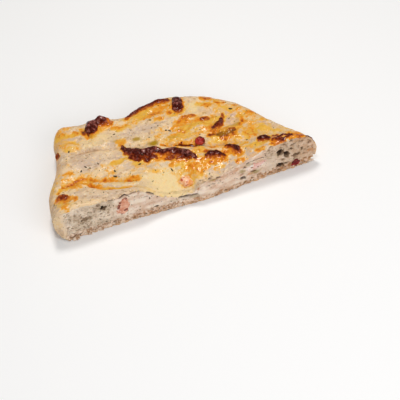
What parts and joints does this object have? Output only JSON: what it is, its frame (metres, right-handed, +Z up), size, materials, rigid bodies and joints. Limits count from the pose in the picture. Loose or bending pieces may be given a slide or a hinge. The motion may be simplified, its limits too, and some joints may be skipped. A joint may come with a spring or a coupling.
{
  "type": "filled fougasse half",
  "caption": "Half of a flat filled fougasse, cut lengthwise: blistered cheese crust on top, melted filling, crumb and ham showing at the cut.",
  "frame": {"origin": "under the middle of the half, on the surface it lies on", "axes": "+X along the cut, +Y back from the cut face to the rounded crust, +Z up through the thickness"},
  "size_m": [0.2052, 0.1052, 0.034],
  "materials": {
    "dough": "baked dough under browned, blistered cheese",
    "cheese": "melted cheese, soft sheen",
    "ham": "moist cooked ham",
    "bacon": "glossy roasted bacon"
  },
  "bodies": {
    "root": {"bread": "dough", "filling": "cheese", "bacon_top": "bacon", "bacon_base": "bacon", "ham_top": "ham", "ham_chunk": "ham", "ham_slice": "ham"}
  },
  "joints": []
}
